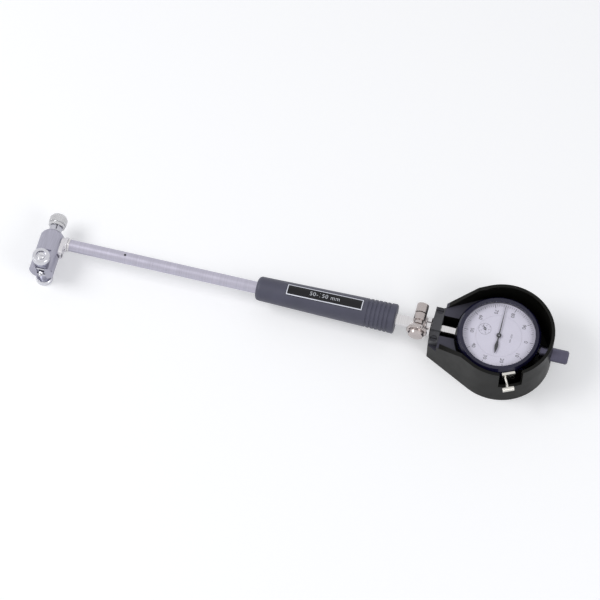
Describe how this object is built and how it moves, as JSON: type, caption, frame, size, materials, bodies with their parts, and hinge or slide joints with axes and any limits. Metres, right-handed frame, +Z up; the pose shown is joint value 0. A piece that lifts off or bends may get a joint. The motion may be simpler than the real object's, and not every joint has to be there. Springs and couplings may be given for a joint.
{
  "type": "dial bore gauge",
  "caption": "Bore gauge with a right-angle measuring head, centring rollers, long tube, insulated grip and a guarded dial indicator clamped on the end, lying flat.",
  "frame": {"origin": "bottom centre of the gauge's overall box, on the surface it lies on", "axes": "+X from the measuring head along the tube to the dial, +Y along the measuring axis to the anvil socket, +Z up out of the dial's face"},
  "size_m": [0.3798, 0.0762, 0.037],
  "materials": {
    "satin_steel": "satin grey plated steel",
    "roller_steel": "turned steel",
    "knurled_steel": "ribbed plated steel",
    "bright_steel": "polished steel",
    "chrome": "bright chrome",
    "warm_chrome": "satin nickel",
    "satin_chrome": "satin chrome tube",
    "dark_steel": "blackened steel",
    "spring_steel": "spring wire",
    "movement_steel": "hardened steel",
    "brass": "machined brass",
    "grip_plastic": "slate moulded plastic",
    "label": "black foil with a silver border",
    "guard_plastic": "black moulded plastic",
    "guard_block_plastic": "dark grey moulded plastic",
    "case_black": "black enamel",
    "cap_grey": "grey anodised",
    "bezel_navy": "dark navy gloss",
    "crystal": "clear crystal",
    "dial_white": "satin white printed face",
    "pointer_black": "black"
  },
  "bodies": {
    "gauge": {"head_body": "satin_steel", "crank_pin": "movement_steel", "guide_springs": "spring_steel", "guide_stop_pins": "bright_steel", "anvil_collet": "satin_steel", "head_flange": "chrome", "flange_screw": "bright_steel", "lock_ring": "chrome", "main_tube": "satin_chrome", "rod_bush_head": "brass", "rod_bush_middle": "brass", "rod_bush_grip": "brass", "tube_pin": "dark_steel", "push_rod_spring": "spring_steel", "grip_sleeve": "grip_plastic", "label_plate": "label", "clamp_sleeve": "chrome", "clamp_ring": "warm_chrome", "guard_shell": "guard_plastic", "guard_block": "guard_block_plastic", "guard_screws": "dark_steel", "dial_case": "case_black", "back_cover": "case_black", "back_cover_screws": "bright_steel", "stem": "chrome", "guide_fork": "brass", "return_spring": "spring_steel", "spring_post": "brass", "spindle_cap": "cap_grey", "dial_centre": "dial_white", "hairspring": "spring_steel", "lower_plate": "brass", "upper_plate": "brass", "pillars": "brass", "bezel_clamp_bracket": "bright_steel"},
    "contact": {"contact_plunger": "bright_steel", "contact_ball": "bright_steel"},
    "crank": {"bell_crank": "movement_steel"},
    "rod": {"push_rod": "movement_steel", "push_rod_tip": "movement_steel", "push_rod_collar": "brass"},
    "spindle": {"spindle": "bright_steel", "guide_pin": "movement_steel", "spindle_contact": "bright_steel"},
    "pointer": {"main_pointer": "pointer_black", "centre_arbor": "brass"},
    "counter": {"wheel_arbor": "brass", "counter_pointer": "pointer_black"},
    "take_up": {"take_up_wheel": "brass"},
    "guide": {"guide_carriage": "satin_steel", "roller_screw_front": "bright_steel", "roller_screw_rear": "bright_steel"},
    "front_roller": {"guide_roller_front": "roller_steel"},
    "rear_roller": {"guide_roller_rear": "roller_steel"},
    "anvil_nut": {"anvil_nut": "knurled_steel"},
    "clamp_screw": {"clamp_screw": "warm_chrome"},
    "bezel": {"bezel": "bezel_navy", "crystal": "crystal", "dial_ring": "dial_white"},
    "bezel_clamp": {"bezel_clamp_screw": "bright_steel"}
  },
  "joints": [
    {"name": "pointer_turn", "type": "hinge", "parent": "gauge", "child": "pointer", "pos_m": [0.14035, 0.00271, 0.027], "axis": [0, 0, -1], "range_deg": [0, 576.06]},
    {"name": "contact_slide", "type": "slide", "parent": "gauge", "child": "contact", "axis": [0, 1, 0], "range_m": [0, 0.0016], "stiffness_N_per_m": 400, "springref_m": -0.006},
    {"name": "crank_turn", "type": "hinge", "parent": "gauge", "child": "crank", "pos_m": [-0.17615, -0.00229, 0.017], "axis": [0, 0, -1], "range_deg": [0, 18.34]},
    {"name": "rod_slide", "type": "slide", "parent": "gauge", "child": "rod", "axis": [1, 0, 0], "range_m": [0, 0.0016], "deforming": ["push_rod_spring"]},
    {"name": "spindle_slide", "type": "slide", "parent": "gauge", "child": "spindle", "axis": [1, 0, 0], "range_m": [0, 0.0016], "deforming": ["return_spring"]},
    {"name": "counter_turn", "type": "hinge", "parent": "gauge", "child": "counter", "pos_m": [0.12982, 0.0059, 0.022], "axis": [0, 0, 1], "range_deg": [0, 57.61]},
    {"name": "take_up_turn", "type": "hinge", "parent": "gauge", "child": "take_up", "pos_m": [0.15088, -0.00049, 0.022], "axis": [0, 0, 1], "range_deg": [0, 57.61], "deforming": ["hairspring"]},
    {"name": "guide_slide", "type": "slide", "parent": "gauge", "child": "guide", "axis": [0, 1, 0], "range_m": [0, 0.0055], "stiffness_N_per_m": 300, "springref_m": -0.004, "deforming": ["guide_springs"]},
    {"name": "front_roller_spin", "type": "hinge", "parent": "guide", "child": "front_roller", "pos_m": [-0.18115, -0.01859, 0.032], "axis": [0, 0, 1], "continuous": true},
    {"name": "rear_roller_spin", "type": "hinge", "parent": "guide", "child": "rear_roller", "pos_m": [-0.18115, -0.01859, 0.002], "axis": [0, 0, 1], "continuous": true},
    {"name": "anvil_nut_turn", "type": "hinge", "parent": "gauge", "child": "anvil_nut", "pos_m": [-0.18115, 0.01871, 0.017], "axis": [0, 1, 0], "range_deg": [0, 180]},
    {"name": "clamp_screw_turn", "type": "hinge", "parent": "gauge", "child": "clamp_screw", "pos_m": [0.08475, 0.00271, 0.028], "axis": [0, -1, 0], "range_deg": [0, 180]},
    {"name": "bezel_turn", "type": "hinge", "parent": "gauge", "child": "bezel", "pos_m": [0.14035, 0.00271, 0.027], "axis": [0, 0, 1], "continuous": true},
    {"name": "bezel_clamp_turn", "type": "hinge", "parent": "gauge", "child": "bezel_clamp", "pos_m": [0.15076, -0.02554, 0.0255], "axis": [0.4226, -0.9063, 0], "range_deg": [0, 90]}
  ],
  "couplings": [
    {"joint": "pointer_turn", "follows": "contact_slide", "rad_per_m": 6283.2},
    {"joint": "crank_turn", "follows": "contact_slide", "rad_per_m": 200},
    {"joint": "rod_slide", "follows": "contact_slide", "ratio": 1},
    {"joint": "spindle_slide", "follows": "contact_slide", "ratio": 1},
    {"joint": "counter_turn", "follows": "contact_slide", "rad_per_m": 628.32},
    {"joint": "take_up_turn", "follows": "contact_slide", "rad_per_m": 628.32}
  ]
}
